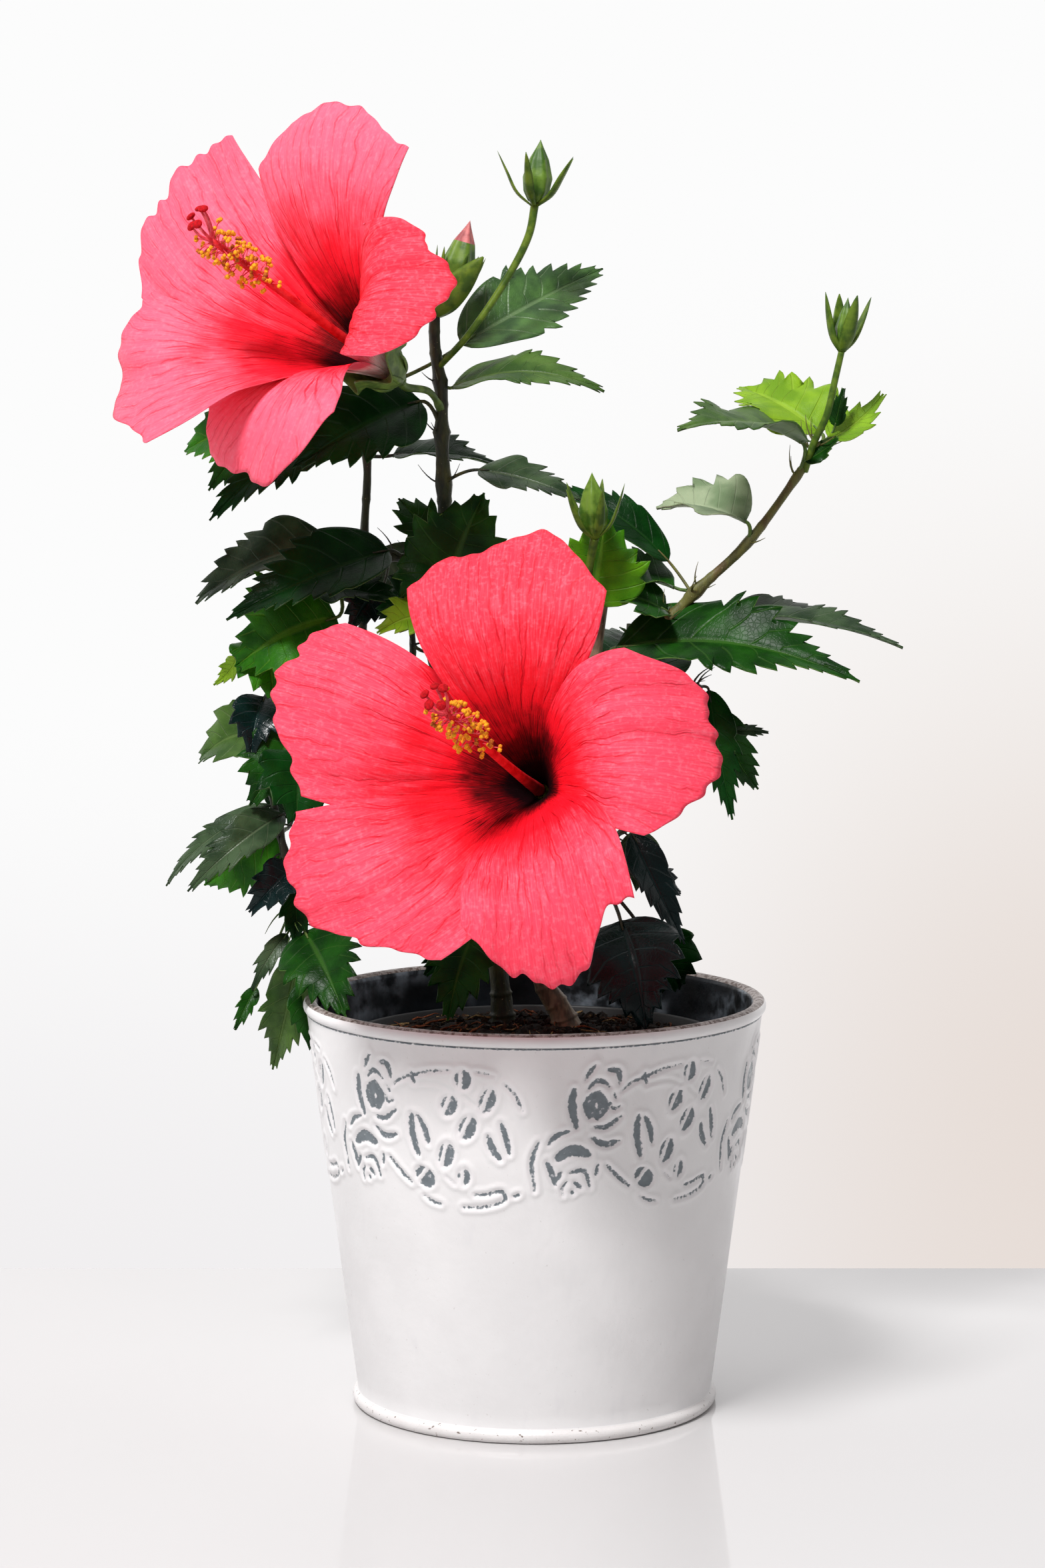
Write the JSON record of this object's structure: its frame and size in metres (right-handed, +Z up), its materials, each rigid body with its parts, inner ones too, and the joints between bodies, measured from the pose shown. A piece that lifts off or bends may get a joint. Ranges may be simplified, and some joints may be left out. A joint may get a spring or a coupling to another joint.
{
  "type": "potted hibiscus shrub",
  "caption": "Hibiscus shrub with large coral blooms, pointed buds and toothed dark leaves, standing in a tapered zinc pot with a rolled rim and an embossed rose band.",
  "frame": {"origin": "centre of the pot's flat underside, on the surface the pot stands on", "axes": "+Z up, +X to the plant's right as seen from its front, -Y towards the front, where the lower bloom faces"},
  "size_m": [0.2624, 0.2585, 0.4451],
  "materials": {
    "zinc": "thin whitewashed zinc, satin",
    "liner": "dark grower's pot",
    "soil": "dark peat, matt",
    "bark": "grey-brown bark",
    "young_bark": "green-brown young bark",
    "leaf": "waxy leaf",
    "young_leaf": "thin young leaf",
    "petal": "thin crinkled petal",
    "column": "smooth, waxy",
    "bud": "soft green sepals"
  },
  "bodies": {
    "root": {"back_left_foliage": "leaf", "back_right_foliage": "leaf", "centre_foliage": "young_leaf", "centre_left_foliage": "leaf", "drooping_bough": "young_bark", "front_bud": "bud", "hanging_foliage": "leaf", "left_shoot_foliage": "leaf", "liner_pot": "liner", "low_front_foliage": "leaf", "low_right_foliage": "leaf", "lower_bloom_calyx": "bud", "lower_bloom_column": "column", "lower_bloom_petals": "petal", "lower_left_foliage": "leaf", "main_stem": "bark", "pink_bud": "bud", "pot": "zinc", "potting_soil": "soil", "right_bough": "young_bark", "right_bud": "bud", "right_low_foliage": "leaf", "right_shoot_foliage": "leaf", "second_bough": "young_bark", "second_shoot_foliage": "leaf", "tall_bud": "bud", "tall_shoot_foliage": "leaf", "upper_bloom_calyx": "bud", "upper_bloom_column": "column", "upper_bloom_petals": "petal", "woody_stem": "bark"}
  },
  "joints": []
}
